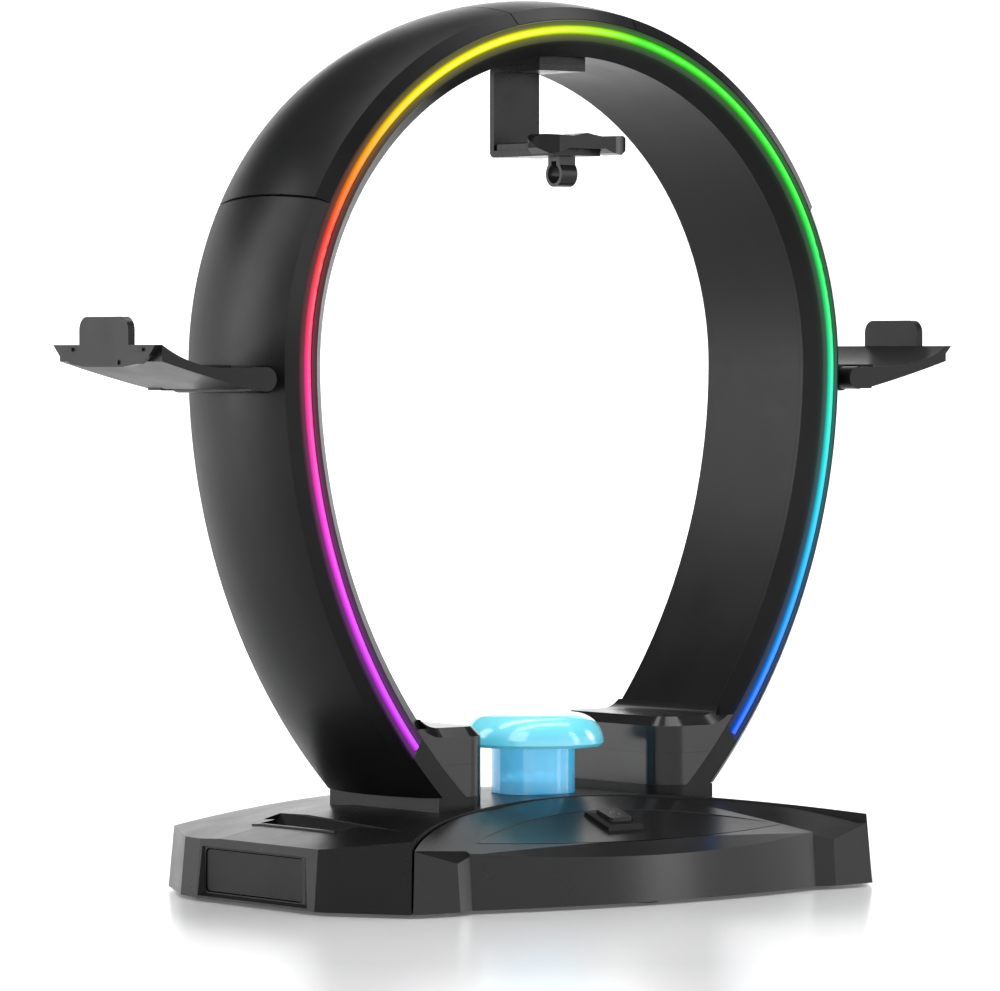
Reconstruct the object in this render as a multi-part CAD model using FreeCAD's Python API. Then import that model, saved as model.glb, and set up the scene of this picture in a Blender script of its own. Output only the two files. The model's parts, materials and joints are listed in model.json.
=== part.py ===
"""Headphone stand with a light arch, two folding controller trays and a cable winder.

Frame: +X to the right, +Y to the rear, +Z up, in millimetres.
The origin is the centre of the footprint, on the surface that the stand rests on.
"""
import FreeCAD, Part
import os
from FreeCAD import Vector

# ---- arch path: a half circle on top of two longer arcs that lead to the feet ----
ARCH_CENTRE_Z = 172.5
ARCH_RADIUS = 108.8
LEG_RADIUS = 196.0
LEG_TURN = 47.0
SEAM_ANGLE = 77.5
WING_END_ANGLE = 27.1
TOP_ANGLE = 90.0
LIGHT_END_TURN = 38.7

# ---- arch section: offsets from the light line, outward positive ----
ARCH_FRONT = -25.0
ARCH_REAR = 34.0
INNER_OFFSET = -8.3
OUTER_OFFSET = 4.5
TRIM_OUTER = 3.4
ARCH_BEVEL = 4.7
COVER_CROWN = 9.4
COVER_FRONT_Y = -24.7
COVER_EDGE_Y = -21.5
LEG_EDGE_OFFSET = 6.4
WING_EDGE_OFFSET = 7.4
WING_RISE = 0.9
TRIM_BACK = -18.5
SHELL_WALL = 2.2
SKIN = 2.0
GROOVE_HALF = 1.6
GROOVE_FLOOR = -20.4
LIGHT_FACE = -25.4
FIT = 0.05

# ---- base ----
BASE_BOTTOM = 1.2
BASE_WALL = 2.5
DRAFT = 3.0
DECK_TOP = 32.0
DECK_END_Z = 21.0
DECK_END_X = 110.0
DECK_FALL_Y = 20.0
DECK_FALL_SLOPE = 0.055
FRONT_Y = -71.0
REAR_Y = 71.0
SEAM_APEX_Y = -24.0
SEAM_END_X = 95.2
SEAM_END_Y = -61.9
SEAM_GAP = 0.7
APRON_THICKNESS = 4.6
APRON_WALL = 2.7
APRON_LEDGE_Z = 12.0
APRON_FLOOR_Y = -60.0
APRON_FLOOR_Z = 3.6
APRON_REAR_Z = 31.7
CREASE_Z = 20.2
CREASE_Y = -60.5
CREASE_RADIUS = 240.5
CREASE_CENTRE_Y = 179.7
CREASE_STEP = 1.2
NOSE_SLOPE = 0.46
SIDE_FALL = 3.0e-4
NOTCH_X = 71.2
CORNER_POINT = (77.4, -60.0, 18.5)
CORNER_SLOPES = (0.17, 1.05)
SIDE_POINT = (63.0, -53.5, 20.9)
SIDE_SLOPES = (0.109, 0.473)
HOLLOW_SHRINK = 11.5

# ---- parts under the base ----
PLATE_THICKNESS = 2.0
PLATE_HALF_X = 100.5
PILLAR_TOP = 7.0
BOLT_HOLE_RADIUS = 2.2
LEAD_HOLE_RADIUS = 4.0
BOLT_PLACES = [(x, y) for x in (-46.0, 46.0) for y in (-8.0, 18.0)]
SCREW_PLACES = [(x, y) for x in (-70.0, 0.0, 70.0) for y in (-45.0, 58.0)]
FEET_PLACES = [(x, y) for x in (-88.0, 88.0) for y in (-40.0, 56.0)] + [(0.0, -57.0), (0.0, 48.0)]
INLET_Z = 9.0
INLET_HALF_X = 3.2
INLET_HALF_Z = 1.6

# ---- feet of the arch ----
COLLAR_TOP = 33.8
SOCKET_TOP = 44.4
BLOCK_TOP = 56.2
BLOCK_INNER_X = 35.6
FOOT_OUTER_X = 57.0
FOOT_CORNER = 9.0
BLOCK_CHAMFER = 3.0
BLEND_RADIUS = 10.0

# ---- power button ----
BUTTON_Y = -43.6
KEY_TOP = 29.0
KEY_BOTTOM = 22.8
KEY_SIZE = (9.0, 8.0)
KEY_GAP = 0.2
KEY_SLOPE_DROP = (2.9, 0.3)
FLANGE_Z = (22.7, 23.55)
BEZEL_SIZE = (14.6, 12.6)
BEZEL_BOTTOM = 20.4
BEZEL_TOP = 27.8
BEZEL_SLOPE_DROP = (3.8, 1.6)
BEZEL_BEVEL = 0.9
SWITCH_BOARD_Z = 15.4
BOARD_THICKNESS = 1.6
SWITCH_TOP = 21.4

# ---- slot inserts on the pods ----
SLOT_OUTLINE = [(95.0, -20.5), (95.0, 28.0), (88.7, 31.5), (73.6, 38.6), (84.0, -41.0)]
SLOT_BACK_X = 84.0
SLOT_LEDGE_X = 92.6
SLOT_GROOVE_Y = (-18.0, 27.0)
SLOT_FLOOR = 14.5
RAMP_REAR = (73.6, 38.6, 26.2)
RAMP_FRONT = (84.0, -41.0, 25.4)
RAMP_FOOT = (86.0, 30.0, 15.0)
RAMP_INNER_X = 60.0
RIB_WIDTH = 0.8
RIB_HEIGHT = 0.5
LINING = 2.2

# ---- end panels ----
PANEL_Y = (-24.7, 27.4)
PANEL_Z = (3.6, 17.0)
PANEL_FACE_X = 110.6
PANEL_THICKNESS = 3.2

# ---- hanger ----
HANGER_Y = 7.5
HANGER_WIDTH = 19.0
HANGER_PLATE = 2.2
HANGER_TOP = 270.4
HANGER_FRONT = -16.7
HANGER_SCREW_Y = (-11.0, 1.0)
FLANGE_FRONT = -24.5
SADDLE_HALF = 19.5
SADDLE_FRONT = -30.0
SADDLE_WING_REAR = -18.5
SADDLE_REAR = 7.3
SADDLE_BOTTOM = 240.4
SEAT_TOP = 245.4
HOOK_Y = -16.3

# ---- trays ----
HINGE_X = 123.0
HINGE_Z = 168.0
PIN_RADIUS = 1.5
RUNNING_FIT = 0.05
KNUCKLE_RADIUS = 4.4
TRAY_HALF = 28.4
TRAY_MID_Y = 5.6
TRAY_END_X = 162.8
TRAY_END_TOP = 178.8
TAB_TOP = 187.6
TAB_HALF = 13.6
TAB_CORNER = 4.2
STOP_PLATE = 2.5

# ---- cable winder ----
WINDER_Y = -1.2
DRUM_RADIUS = 13.8
CAP_RADIUS = 23.3
DRUM_BOTTOM = 32.1
CAP_BOTTOM = 47.5
CAP_TOP = 57.9

# ---- cutting tools reach this far past the base ----
REACH = 120.0
SKY = 60.0

MIRROR_X = Vector(1, 0, 0)
ORIGIN = Vector(0, 0, 0)


# ------------------------------------------------------------------ helpers
def box(x0, x1, y0, y1, z0, z1):
    """Box between two corners."""
    return Part.makeBox(x1 - x0, y1 - y0, z1 - z0, Vector(x0, y0, z0))


def rounded_box(x0, x1, y0, y1, z0, z1, radius):
    """Box with its four upright edges rounded."""
    solid = box(x0, x1, y0, y1, z0, z1)
    upright = [e for e in solid.Edges if abs(e.tangentAt(e.FirstParameter).z) > 0.9]
    return solid.makeFillet(radius, upright)


def mirrored(shape):
    """The same piece on the left side."""
    return shape.mirror(ORIGIN, MIRROR_X)


def group(shapes):
    """Separate solids in one node."""
    return Part.makeCompound(shapes)


def polygon(points):
    """Flat face from corner points."""
    return Part.Face(Part.makePolygon(points + [points[0]]))


def prism_xz(points, y0, y1):
    """Outline in X and Z, extruded from y0 to y1."""
    face = polygon([Vector(x, y0, z) for x, z in points])
    return face.extrude(Vector(0, y1 - y0, 0))


def prism_yz(points, x0, x1):
    """Outline in Y and Z, extruded from x0 to x1."""
    face = polygon([Vector(x0, y, z) for y, z in points])
    return face.extrude(Vector(x1 - x0, 0, 0))


def cylinder_y(x, z, radius, y0, y1):
    """Round bar along Y."""
    return Part.makeCylinder(radius, y1 - y0, Vector(x, y0, z), Vector(0, 1, 0))


def cylinder_z(x, y, radius, z0, z1):
    """Round bar along Z."""
    return Part.makeCylinder(radius, z1 - z0, Vector(x, y, z0))


def screw(x, y, z_head, length, head=2.6, shank=1.3, depth=1.6):
    """Pan-head screw that points up, with its head at z_head."""
    head_part = cylinder_z(x, y, head, z_head, z_head + depth)
    return head_part.fuse(cylinder_z(x, y, shank, z_head + depth, z_head + length))


# ------------------------------------------------------------------ arch
def section_face(edges):
    """Flat face inside a closed run of edges."""
    return Part.Face(Part.Wire(edges))


def section_point(offset, y):
    """Point of the arch section, at the right side, level with the arch centre."""
    return Vector(ARCH_RADIUS + offset, y, ARCH_CENTRE_Z)


def section_polygon(points):
    """Flat section with straight sides."""
    return polygon([section_point(s, y) for s, y in points])


def sweep_top(face, start, end):
    """Turns a section round the arch centre, from start to end in degrees above level."""
    centre = Vector(0, 0, ARCH_CENTRE_Z)
    turned = face.copy()
    turned.rotate(centre, Vector(0, -1, 0), start)
    return turned.revolve(centre, Vector(0, -1, 0), end - start)


def sweep_leg(face, turn):
    """Turns a section down the right leg."""
    centre = Vector(ARCH_RADIUS - LEG_RADIUS, 0, ARCH_CENTRE_Z)
    return face.revolve(centre, Vector(0, 1, 0), turn)


def above(shape, z):
    """The part of a shape above a height."""
    return shape.common(box(-2 * REACH, 2 * REACH, -REACH, REACH, z, 4 * REACH))


def half_arch(face, turn=LEG_TURN, end=TOP_ANGLE):
    """Right half of the arch for one section, down to the collar."""
    swept = sweep_top(face, 0, end).fuse(sweep_leg(face, turn))
    return above(swept.removeSplitter(), COLLAR_TOP)


def crown_arc(front, crown, rear):
    """Curved side of the section, from its front edge over the crown to its rear edge."""
    middle = section_point(crown, (front[1] + rear[1]) / 2)
    return Part.Arc(section_point(*front), middle, section_point(*rear)).toShape()


def skin_section(edge, crown):
    """Curved outer cover: a bevel at the front, then a bulge to the rear edge."""
    lip = (TRIM_OUTER + FIT, COVER_FRONT_Y)
    front = (edge, COVER_EDGE_Y)
    rear = (OUTER_OFFSET, ARCH_REAR)
    rear_inside = (OUTER_OFFSET - SKIN, ARCH_REAR)
    front_inside = (TRIM_OUTER + FIT, TRIM_BACK + FIT)
    edges = [Part.makeLine(section_point(*lip), section_point(*front))]
    edges.append(crown_arc(front, crown, rear))
    edges.append(Part.makeLine(section_point(*rear), section_point(*rear_inside)))
    edges.append(crown_arc(rear_inside, crown - SKIN, front_inside))
    edges.append(Part.makeLine(section_point(*front_inside), section_point(*lip)))
    return section_face(edges)


def envelope_section(grow, bevel):
    """Full outline of the arch with nothing inside, for cutting its neighbours."""
    rear = ARCH_REAR + grow
    front = ARCH_FRONT - grow
    low = INNER_OFFSET - grow
    edge = (LEG_EDGE_OFFSET + grow, COVER_EDGE_Y)
    high = (OUTER_OFFSET + grow, rear)
    if bevel:
        corners = [high, (low + bevel, rear), (low, rear - bevel)]
        corners += [(low, front + bevel), (low + bevel, front)]
    else:
        corners = [high, (low, rear), (low, front)]
    corners += [(TRIM_OUTER + grow, front), edge]
    points = [section_point(*corner) for corner in corners]
    sides = [Part.makeLine(a, b) for a, b in zip(points, points[1:])]
    return section_face([crown_arc(edge, COVER_CROWN + grow, high)] + sides)


def arch_envelope(grow, bevel=ARCH_BEVEL):
    """Solid outline of the right half of the arch."""
    top = sweep_top(envelope_section(grow, bevel), 0, TOP_ANGLE)
    return top.fuse(sweep_leg(envelope_section(grow, bevel), LEG_TURN)).removeSplitter()


def arch_shell():
    """Channel with the inner wall, the bevelled rear wall and a rib for the trim."""
    inner = INNER_OFFSET
    wall = SHELL_WALL
    rim = OUTER_OFFSET - SKIN - FIT
    front = TRIM_BACK + FIT
    bevel = ARCH_BEVEL
    points = [(inner, front), (inner, ARCH_REAR - bevel), (inner + bevel, ARCH_REAR), (rim, ARCH_REAR)]
    points += [(rim, ARCH_REAR - wall), (inner + bevel + wall / 2, ARCH_REAR - wall)]
    points += [(inner + wall, ARCH_REAR - bevel - wall / 2), (inner + wall, front)]
    return half_arch(section_polygon(points))


def front_trim():
    """Front band with the inner bevel and the groove that holds the light line."""
    lip = 0.5
    points = [(TRIM_OUTER, ARCH_FRONT + lip), (TRIM_OUTER - lip, ARCH_FRONT)]
    points += [(INNER_OFFSET + ARCH_BEVEL, ARCH_FRONT), (INNER_OFFSET, ARCH_FRONT + ARCH_BEVEL)]
    points += [(INNER_OFFSET, TRIM_BACK), (TRIM_OUTER, TRIM_BACK)]
    band = half_arch(section_polygon(points))
    groove = section_polygon(rectangle(GROOVE_HALF, ARCH_FRONT - 1, GROOVE_FLOOR))
    cut = sweep_top(groove, 0, TOP_ANGLE).fuse(sweep_leg(groove, LIGHT_END_TURN)).removeSplitter()
    return band.cut(cut)


def rectangle(half_width, y0, y1):
    """Section outline centred on the light line."""
    return [(-half_width, y0), (half_width, y0), (half_width, y1), (-half_width, y1)]


def light_line(half_width, y0, y1, turn):
    """Something long and slim that lies in the groove of the right half."""
    face = section_polygon(rectangle(half_width, y0, y1))
    return sweep_top(face, 0, TOP_ANGLE).fuse(sweep_leg(face, turn)).removeSplitter()


def light_diffuser():
    """Clear strip with a rounded face."""
    half = GROOVE_HALF - FIT
    back = GROOVE_FLOOR - 1.9
    shoulder = ARCH_FRONT + 0.4
    crest = section_point(0, LIGHT_FACE)
    face_arc = Part.Arc(section_point(-half, shoulder), crest, section_point(half, shoulder))
    sides = [Part.makeLine(section_point(half, shoulder), section_point(half, back))]
    sides.append(Part.makeLine(section_point(half, back), section_point(-half, back)))
    sides.append(Part.makeLine(section_point(-half, back), section_point(-half, shoulder)))
    face = section_face([face_arc.toShape()] + sides)
    turn = LIGHT_END_TURN - 0.05
    return sweep_top(face, 0, TOP_ANGLE).fuse(sweep_leg(face, turn)).removeSplitter()


def light_strip():
    """Flexible board with its row of lamps, under the diffuser."""
    board = light_line(GROOVE_HALF - 0.2, GROOVE_FLOOR - 0.5, GROOVE_FLOOR - FIT, LIGHT_END_TURN - 0.5)
    lamps = []
    lamp_count = 22
    side = 2.2
    tall = 0.8
    centre = Vector(0, 0, ARCH_CENTRE_Z)
    for i in range(lamp_count):
        lamp = Part.makeBox(side, tall, side)
        lamp.translate(Vector(ARCH_RADIUS - side / 2, GROOVE_FLOOR - 0.5 - tall, ARCH_CENTRE_Z - side / 2))
        lamp.rotate(centre, Vector(0, -1, 0), (i + 0.5) * TOP_ANGLE / lamp_count)
        lamps.append(lamp)
    return board.fuse(lamps)


def leg_cover():
    """Outer cover of the right leg, up to the end of the wing cover."""
    face = skin_section(LEG_EDGE_OFFSET, COVER_CROWN)
    swept = sweep_top(face, 0, WING_END_ANGLE - 0.15).fuse(sweep_leg(face, LEG_TURN))
    return above(swept.removeSplitter(), COLLAR_TOP)


def wing_cover():
    """Raised cover between the top cap and the side of the arch."""
    face = skin_section(WING_EDGE_OFFSET, COVER_CROWN + WING_RISE)
    return sweep_top(face, WING_END_ANGLE, SEAM_ANGLE - 0.2)


def top_cap():
    """Cover over the middle of the arch, between the two seams."""
    face = skin_section(WING_EDGE_OFFSET, COVER_CROWN + WING_RISE)
    return sweep_top(face, SEAM_ANGLE, 180 - SEAM_ANGLE)


# ------------------------------------------------------------------ base
def base_outline(inset, z):
    """Outline of the base at a height; the front between the notches is an arc."""
    right = [(NOTCH_X, -61.0), (77.8, -63.4), (SEAM_END_X, SEAM_END_Y), (111.4, -38.3), (113.0, -34.0)]
    right += [(113.0, 30.5), (110.6, 42.6), (95.6, REAR_Y)]
    points = [Vector(x, y, z) for x, y in right]
    left = [Vector(-p.x, p.y, z) for p in reversed(points)]
    nose = Part.Arc(left[-1], Vector(0, FRONT_Y, z), points[0]).toShape()
    corners = points + left
    edges = [Part.makeLine(a, b) for a, b in zip(corners, corners[1:])]
    wire = Part.Wire([nose] + edges)
    if inset:
        wire = wire.makeOffset2D(-inset, 2)
    return wire


def base_block(inset, z0, z1):
    """Upright prism of the base outline."""
    return Part.Face(base_outline(inset, z0)).extrude(Vector(0, 0, z1 - z0))


def drafted_base(z0, z1):
    """Base outline with walls that lean in towards the top."""
    wires = [base_outline(0, z0), base_outline(DRAFT, z1)]
    return Part.makeLoft(wires, True, True)


def arc_prism(top, fall, y0, slope, length, up):
    """Curved slab: its arc falls to the sides and its axis climbs or falls along Y."""
    end = 90.0 if up else -90.0
    z_reach = top - fall * REACH ** 2
    left = Vector(-REACH, y0, z_reach)
    right = Vector(REACH, y0, z_reach)
    arc = Part.Arc(left, Vector(0, y0, top), right).toShape()
    far = [Vector(REACH, y0, end), Vector(-REACH, y0, end)]
    sides = [Part.makeLine(right, far[0]), Part.makeLine(far[0], far[1]), Part.makeLine(far[1], left)]
    return section_face([arc] + sides).extrude(Vector(0, length, slope * length))


def deck_prism(drop):
    """Everything under the gently arched deck, which dips towards the rear."""
    fall = (DECK_TOP - DECK_END_Z) / DECK_END_X ** 2
    level = arc_prism(DECK_TOP - drop, fall, -90.0, 0.0, 180.0, False)
    dip = arc_prism(DECK_TOP - drop, fall, DECK_FALL_Y, -DECK_FALL_SLOPE, 80.0, True)
    return level.cut(dip)


def seam_disc(grow, z0, z1):
    """Round region whose rear edge is the seam between the deck and the apron."""
    sagitta = SEAM_APEX_Y - SEAM_END_Y
    radius = (SEAM_END_X ** 2 + sagitta ** 2) / (2 * sagitta)
    return cylinder_z(0, SEAM_APEX_Y - radius, radius + grow, z0, z1)


def foot_box(z0, z1, inset=0.0):
    """Right-hand block under a leg, with a round inner front corner."""
    solid = box(BLOCK_INNER_X + inset, FOOT_OUTER_X - inset, ARCH_FRONT + inset, ARCH_REAR - inset, z0, z1)
    corners = []
    for edge in solid.Edges:
        centre = edge.CenterOfMass
        upright = abs(edge.tangentAt(edge.FirstParameter).z) > 0.9
        if upright and centre.x < BLOCK_INNER_X + inset + 0.1:
            corners.append(edge)
    return solid.makeFillet(FOOT_CORNER, corners)


def slot_region(grow, z0, z1):
    """Opening in the right pod for the slot insert."""
    corners = [Vector(x, y, z0) for x, y in SLOT_OUTLINE]
    wire = Part.makePolygon(corners + [corners[0]])
    if grow:
        wire = wire.makeOffset2D(grow, 2)
    return Part.Face(wire).extrude(Vector(0, 0, z1 - z0))


def panel_recess():
    """Bevelled recess in the right end, widest at the front, with the hole for the end panel."""
    outer = rectangle_wire_yz(113.4, PANEL_Y[0] - 6.5, PANEL_Y[1] + 2.6, PANEL_Z[0] - 1.8, PANEL_Z[1] + 1.6)
    inner = rectangle_wire_yz(111.0, PANEL_Y[0] - 1.6, PANEL_Y[1] + 1.2, PANEL_Z[0] - 0.7, PANEL_Z[1] + 0.7)
    funnel = Part.makeLoft([outer, inner], True, True)
    gap = 0.35
    hole = end_plate(PANEL_FACE_X - PANEL_THICKNESS - 0.4, 111.1, gap)
    return funnel.fuse(hole)


def rectangle_wire_yz(x, y0, y1, z0, z1):
    """Closed rectangle in the YZ plane."""
    corners = [Vector(x, y0, z0), Vector(x, y1, z0), Vector(x, y1, z1), Vector(x, y0, z1)]
    return Part.makePolygon(corners + [corners[0]])


def end_plate(x0, x1, grow):
    """Plate in the YZ plane with rounded corners, the size of the end panel."""
    solid = box(x0, x1, PANEL_Y[0] - grow, PANEL_Y[1] + grow, PANEL_Z[0] - grow, PANEL_Z[1] + grow)
    along_x = [e for e in solid.Edges if abs(e.tangentAt(e.FirstParameter).x) > 0.9]
    return solid.makeFillet(1.6, along_x)


def base_top_cover():
    """Moulded cover: deck, pods and walls, open under the apron."""
    outer = drafted_base(BASE_BOTTOM, DECK_TOP + 4).common(deck_prism(0))
    cavity = base_block(BASE_WALL + DRAFT, BASE_BOTTOM - 1, DECK_TOP).common(deck_prism(BASE_WALL))
    cavity = cavity.common(box(-101, 101, -90, 90, 0, SKY))
    collar = foot_box(DECK_TOP - 8, COLLAR_TOP)
    cover = outer.cut(cavity)
    for piece in (collar, mirrored(collar)):
        cover = cover.fuse(piece)
    cover = cover.cut(seam_disc(SEAM_GAP, 0, SKY))
    for cut in (slot_region(FIT, 10, SKY), panel_recess()):
        cover = cover.cut(cut).cut(mirrored(cut))
    cover = cover.cut(inlet_opening()).cut(wire_holes())
    return cover.removeSplitter()


def wire_holes():
    """Holes for the leg bolts and for the leads of the winder lamp."""
    leads = cylinder_z(0, WINDER_Y, LEAD_HOLE_RADIUS, 0, SKY)
    return leads.fuse([cylinder_z(x, y, BOLT_HOLE_RADIUS, 0, SKY) for x, y in BOLT_PLACES])


def inlet_opening():
    """Opening in the rear wall for the power inlet."""
    return rounded_slot(0.3, 60, 80)


def rounded_slot(grow, y0, y1):
    """Stadium along Y, the outline of a small power inlet."""
    height = INLET_HALF_Z + grow
    body = box(-INLET_HALF_X, INLET_HALF_X, y0, y1, INLET_Z - height, INLET_Z + height)
    for x in (-INLET_HALF_X, INLET_HALF_X):
        body = body.fuse(cylinder_y(x, INLET_Z, height, y0, y1))
    return body.removeSplitter()


def plane_space(anchor, slopes, x0, x1, y0, y1, height=SKY):
    """Everything above (or below) a tilted plane, inside a rectangle."""
    corners = []
    for x, y in ((x0, y0), (x1, y0), (x1, y1), (x0, y1)):
        z = anchor[2] + slopes[0] * (x - anchor[0]) + slopes[1] * (y - anchor[1])
        corners.append(Vector(x, y, z))
    return polygon(corners).extrude(Vector(0, 0, height))


def apron_slopes(drop):
    """Everything above the apron: main slope, raised sides, nose slope and corner bevels."""
    climb = (APRON_REAR_Z - CREASE_Z) / (SEAM_APEX_Y - CREASE_Y)
    ahead = 20.0
    start = CREASE_Y - ahead
    length = 80.0
    side_reach = REACH - 2
    main = arc_prism(CREASE_Z - climb * ahead - drop, SIDE_FALL, start, climb, length, True)
    side_anchor = (SIDE_POINT[0], SIDE_POINT[1], SIDE_POINT[2] - drop)
    side = plane_space(side_anchor, SIDE_SLOPES, -side_reach, side_reach, start, start + length)
    above_main = main.common(side).common(mirrored(side))
    nose = arc_prism(CREASE_Z - NOSE_SLOPE * ahead - drop, SIDE_FALL, start, NOSE_SLOPE, length, True)
    nose = nose.common(box(-NOTCH_X, NOTCH_X, -100, 0, -50, 100))
    corner_anchor = (CORNER_POINT[0], CORNER_POINT[1], CORNER_POINT[2] - drop)
    corner = plane_space(corner_anchor, CORNER_SLOPES, NOTCH_X, side_reach, start, start + length)
    return above_main.fuse([nose, corner, mirrored(corner)])


def apron_body():
    """Solid front piece: the nose walls under a top that slopes down from the seam."""
    body = drafted_base(BASE_BOTTOM, DECK_TOP + 4).common(seam_disc(0, 0, SKY)).common(deck_prism(0.3))
    return body.cut(apron_slopes(0))


def apron_hollow():
    """Room inside the apron, open below and along the seam under its rear edge."""
    room = base_block(APRON_WALL + DRAFT, 0, SKY).common(deck_prism(APRON_THICKNESS))
    inside = room.common(seam_disc(-APRON_WALL, 0, SKY)).cut(apron_slopes(APRON_THICKNESS))
    low_room = base_block(APRON_WALL + DRAFT, 0, APRON_LEDGE_Z)
    return inside.fuse(low_room)


def almond():
    """Shallow dish of the apron, bounded by the crease line in front."""
    nose = cylinder_z(0, CREASE_CENTRE_Y, CREASE_RADIUS, 0, SKY)
    region = nose.common(seam_disc(-HOLLOW_SHRINK, 0, SKY))
    rear = Vector(-100, SEAM_APEX_Y - HOLLOW_SHRINK, 28.0)
    middle = Vector(-100, -48.0, 23.1)
    front = Vector(-100, CREASE_Y - 1.0, CREASE_Z - CREASE_STEP)
    arc = Part.Arc(rear, middle, front).toShape()
    top = [Vector(-100, front.y, SKY), Vector(-100, rear.y, SKY)]
    sides = [Part.makeLine(front, top[0]), Part.makeLine(top[0], top[1]), Part.makeLine(top[1], rear)]
    dish = section_face([arc] + sides).extrude(Vector(200, 0, 0))
    return region.common(dish)


def front_apron():
    """Front wall and sloping top in one moulding, with the window for the button bezel."""
    half_x, half_y = [size / 2 + FIT for size in BEZEL_SIZE]
    window = box(-half_x, half_x, BUTTON_Y - half_y, BUTTON_Y + half_y, 0, SKY)
    body = apron_body().cut(apron_hollow())
    body = body.cut(almond()).cut(window)
    body = body.cut(box(-REACH, REACH, APRON_FLOOR_Y, 0, 0, APRON_FLOOR_Z))
    return max(body.removeSplitter().Solids, key=lambda s: s.Volume)


def base_bottom_plate():
    """Flat plate with pillars for the boards and the ballast."""
    floor = BASE_BOTTOM + PLATE_THICKNESS
    plate = base_block(BASE_WALL + DRAFT + 0.4, BASE_BOTTOM, floor)
    plate = plate.common(box(-PLATE_HALF_X, PLATE_HALF_X, -REACH, REACH, 0, SKY))
    for x in (-28.0, 28.0):
        for y in (30.0, 52.0):
            plate = plate.fuse(cylinder_z(x, y, 3.0, floor - 1, PILLAR_TOP))
    for x in (-10.0, 10.0):
        plate = plate.fuse(cylinder_z(x, BUTTON_Y, 2.6, floor - 1, SWITCH_BOARD_Z))
    for x, y in SCREW_PLACES:
        plate = plate.cut(cylinder_z(x, y, 1.5, 0, SKY))
    return plate.removeSplitter()


def base_screws():
    """Screws that hold the bottom plate."""
    return group([screw(x, y, BASE_BOTTOM - 0.9, 4.2, head=2.4, depth=0.8) for x, y in SCREW_PLACES])


def rubber_feet():
    """Six round pads that the stand rests on."""
    return group([cylinder_z(x, y, 6.0, 0, BASE_BOTTOM) for x, y in FEET_PLACES])


def ballast_plate():
    """Steel plate that keeps the loaded stand from tipping."""
    floor = BASE_BOTTOM + PLATE_THICKNESS
    return rounded_box(34, 92, -38, 48, floor + FIT, floor + 4.0, 5.0)


def main_board():
    """Control board with its chip, lamp driver and coil."""
    top = PILLAR_TOP + BOARD_THICKNESS
    board = rounded_box(-31, 31, 26, 60, PILLAR_TOP + FIT, top, 1.5)
    chip = box(-5, 5, 36, 46, top, top + 1.6)
    driver = box(12, 20, 34, 40, top, top + 1.8)
    coil = cylinder_z(-18, 40, 4.0, top, top + 4.0)
    return board.fuse([chip, driver, coil])


def usb_inlet():
    """Power inlet on the rear edge of the board."""
    shell = rounded_slot(0, 60.3, 69.0)
    mouth = rounded_slot(-0.4, 62.0, 75.0)
    tongue = box(-3.0, 3.0, 61.9, 68.4, INLET_Z - 0.3, INLET_Z + 0.3)
    return shell.cut(mouth).fuse(tongue)


def switch_board():
    """Small board under the key."""
    top = SWITCH_BOARD_Z + BOARD_THICKNESS
    return rounded_box(-13, 13, BUTTON_Y - 4, BUTTON_Y + 6, SWITCH_BOARD_Z + FIT, top, 1.0)


def button_switch():
    """Tactile switch with its plunger, under the key."""
    low = SWITCH_BOARD_Z + BOARD_THICKNESS + FIT
    body = box(-3, 3, BUTTON_Y - 3, BUTTON_Y + 3, low, SWITCH_TOP)
    return body.fuse(cylinder_z(0, BUTTON_Y, 1.6, SWITCH_TOP - 0.1, KEY_BOTTOM))


def slope_space(y0, y1, top, drop):
    """Everything above a slope that falls from the rear edge y1 to the front edge y0."""
    front_drop, rear_rise = drop
    front = (y0 - 1, top - front_drop)
    rear = (y1 + 1, top + rear_rise)
    return prism_yz([front, rear, (y1 + 1, SKY), (y0 - 1, SKY)], -20, 20)


def button_bezel():
    """Raised frame round the key, open underneath."""
    half_x, half_y = [size / 2 for size in BEZEL_SIZE]
    key_x, key_y = [size / 2 + KEY_GAP for size in KEY_SIZE]
    y0 = BUTTON_Y - half_y
    y1 = BUTTON_Y + half_y
    block = box(-half_x, half_x, y0, y1, BEZEL_BOTTOM, BEZEL_TOP)
    block = block.cut(slope_space(y0, y1, BEZEL_TOP, BEZEL_SLOPE_DROP))
    climb = sum(BEZEL_SLOPE_DROP) / (y1 - y0 + 2)
    edge = (half_x, y0 - 1, BEZEL_TOP - BEZEL_SLOPE_DROP[0] - BEZEL_BEVEL)
    bevel = plane_space(edge, (-1.0, climb), key_x, half_x + 1, y0 - 1, y1 + 1)
    block = block.cut(bevel).cut(mirrored(bevel))
    window = box(-key_x, key_x, BUTTON_Y - key_y, BUTTON_Y + key_y, 0, SKY)
    well_x = key_x + 1.4
    well_y = key_y + 1.0
    well = box(-well_x, well_x, BUTTON_Y - well_y, BUTTON_Y + well_y, 0, FLANGE_Z[1] + 0.15)
    return block.cut(window).cut(well)


def power_button():
    """Key with a flange that the bezel holds down."""
    half_x, half_y = [size / 2 for size in KEY_SIZE]
    y0 = BUTTON_Y - half_y
    y1 = BUTTON_Y + half_y
    skirt_top = 24.8
    well_top = 24.1
    key = rounded_box(-half_x, half_x, y0, y1, well_top + 0.1, KEY_TOP, 1.0)
    stem = box(-half_x, half_x, y0, y1, KEY_BOTTOM, skirt_top)
    body = key.fuse(stem).cut(slope_space(y0, y1, KEY_TOP, KEY_SLOPE_DROP))
    flange = box(-half_x - 1.0, half_x + 1.0, y0 - 0.6, y1 + 0.6, *FLANGE_Z)
    plunger_well = cylinder_z(0, BUTTON_Y, 2.4, 0, well_top)
    return body.fuse(flange).cut(plunger_well).removeSplitter()


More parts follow.
